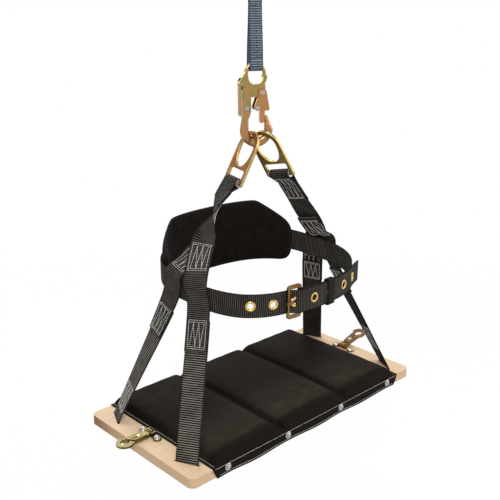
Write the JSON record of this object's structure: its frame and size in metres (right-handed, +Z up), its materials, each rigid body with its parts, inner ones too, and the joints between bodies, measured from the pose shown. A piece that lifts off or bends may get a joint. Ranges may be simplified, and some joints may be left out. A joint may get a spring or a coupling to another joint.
{
  "type": "bosun's chair",
  "caption": "Padded plank seat slung on webbing straps from ring plates and a locking snap hook, with a waist belt, back pad and side tool snaps.",
  "frame": {"origin": "middle of the round eye at the top of the lanyard, from which the whole chair hangs", "axes": "+Z up, +X along the seat board to the right end, +Y to the back pad"},
  "size_m": [0.6889, 0.3254, 0.8445],
  "materials": {
    "black_webbing": "ribbed nylon webbing, matt",
    "lanyard_webbing": "ribbed slate-blue webbing, matt",
    "gold_zinc": "yellow chromated zinc plating, satin",
    "steel": "bright zinc plating",
    "spring_steel": "oiled spring wire",
    "plywood": "sanded birch plywood",
    "black_vinyl": "matt black coated cloth",
    "pad_cloth": "matt black padded cloth",
    "foam": "foam, hidden by the cover",
    "brass": "polished brass"
  },
  "bodies": {
    "lanyard": {"lanyard_strap": "lanyard_webbing"},
    "hook": {"hook_body": "gold_zinc", "hook_gate_pin": "steel", "hook_gate_spring": "spring_steel", "hook_lock_pin": "steel", "hook_rivet": "steel"},
    "hook_gate": {"hook_gate": "gold_zinc", "hook_gate_rivet": "steel"},
    "hook_lock": {"hook_lock": "gold_zinc"},
    "chair": {"seat_board": "plywood", "left_bar_sleeve": "steel", "right_bar_sleeve": "steel", "left_main_strap": "black_webbing", "right_main_strap": "black_webbing", "left_branch_strap": "black_webbing", "right_branch_strap": "black_webbing", "under_strap_a": "black_webbing", "under_strap_b": "black_webbing", "seat_cover": "black_vinyl", "foam_left": "foam", "foam_middle": "foam", "foam_right": "foam", "cover_screws": "steel", "cover_washers": "steel", "belt": "black_webbing", "belt_grommets": "brass", "buckle_frame": "gold_zinc", "back_pad": "pad_cloth", "pad_loops": "black_webbing", "left_bar_loop": "gold_zinc", "right_bar_loop": "gold_zinc", "loop_screws": "steel"},
    "left_ring": {"left_ring_plate": "gold_zinc", "left_ring_bar": "gold_zinc", "left_bar_washers": "steel"},
    "right_ring": {"right_ring_plate": "gold_zinc", "right_ring_bar": "gold_zinc", "right_bar_washers": "steel"},
    "buckle_tongue": {"buckle_tongue": "gold_zinc"},
    "belt_keeper": {"belt_keeper": "black_webbing"},
    "left_snap": {"left_snap": "gold_zinc", "left_snap_rivet": "steel"},
    "right_snap": {"right_snap": "gold_zinc", "right_snap_rivet": "steel"},
    "left_snap_gate": {"left_snap_gate": "gold_zinc"},
    "right_snap_gate": {"right_snap_gate": "gold_zinc"}
  },
  "joints": [
    {"name": "hook_swing", "type": "hinge", "parent": "lanyard", "child": "hook", "pos_m": [0, 0, -0.155], "axis": [0.9063, -0.4226, 0], "range_deg": [-35, 35]},
    {"name": "hook_gate_turn", "type": "hinge", "parent": "hook", "child": "hook_gate", "pos_m": [0.00997, -0.00465, -0.2045], "axis": [-0.4226, -0.9063, 0], "range_deg": [-20, 0], "stiffness_Nm_per_rad": 0.06, "springref_deg": 20.05},
    {"name": "hook_lock_press", "type": "hinge", "parent": "hook", "child": "hook_lock", "pos_m": [-0.02538, 0.01183, -0.1865], "axis": [-0.4226, -0.9063, 0], "range_deg": [0, 3], "stiffness_Nm_per_rad": 0.06, "springref_deg": -20.05},
    {"name": "chair_swing", "type": "hinge", "parent": "hook", "child": "chair", "pos_m": [0.00272, -0.00127, -0.29375], "axis": [0.9063, -0.4226, 0], "range_deg": [-7, 7]},
    {"name": "left_ring_turn", "type": "hinge", "parent": "chair", "child": "left_ring", "pos_m": [-0.04317, 0.01222, -0.36467], "axis": [0.23, 0.9722, 0.0439], "range_deg": [-0.2, 0.3]},
    {"name": "right_ring_turn", "type": "hinge", "parent": "chair", "child": "right_ring", "pos_m": [0.05511, -0.01427, -0.36057], "axis": [0.1479, -0.9735, 0.1744], "range_deg": [-0.3, 0.3]},
    {"name": "tongue_turn", "type": "hinge", "parent": "chair", "child": "buckle_tongue", "pos_m": [-0.0504, -0.16824, -0.54884], "axis": [0.0097, -0.0009, 1], "range_deg": [0, 6]},
    {"name": "keeper_slide", "type": "slide", "parent": "chair", "child": "belt_keeper", "axis": [0.999, 0.0454, 0.0048], "range_m": [-0.006, 0.006]},
    {"name": "left_snap_lift", "type": "hinge", "parent": "chair", "child": "left_snap", "pos_m": [-0.2678, -0.0037, -0.79704], "axis": [0, 1, 0], "range_deg": [0, 90]},
    {"name": "right_snap_lift", "type": "hinge", "parent": "chair", "child": "right_snap", "pos_m": [0.2787, -0.0037, -0.79704], "axis": [0, -1, 0], "range_deg": [-14, 75]},
    {"name": "left_snap_gate_turn", "type": "hinge", "parent": "left_snap", "child": "left_snap_gate", "pos_m": [-0.2938, -0.0037, -0.79704], "axis": [0, 0, -1], "range_deg": [-14, 0], "stiffness_Nm_per_rad": 0.02, "springref_deg": 20.05},
    {"name": "right_snap_gate_turn", "type": "hinge", "parent": "right_snap", "child": "right_snap_gate", "pos_m": [0.30393, -0.0037, -0.79075], "axis": [-0.2419, 0, 0.9703], "range_deg": [-14, 0], "stiffness_Nm_per_rad": 0.02, "springref_deg": 20.05}
  ]
}
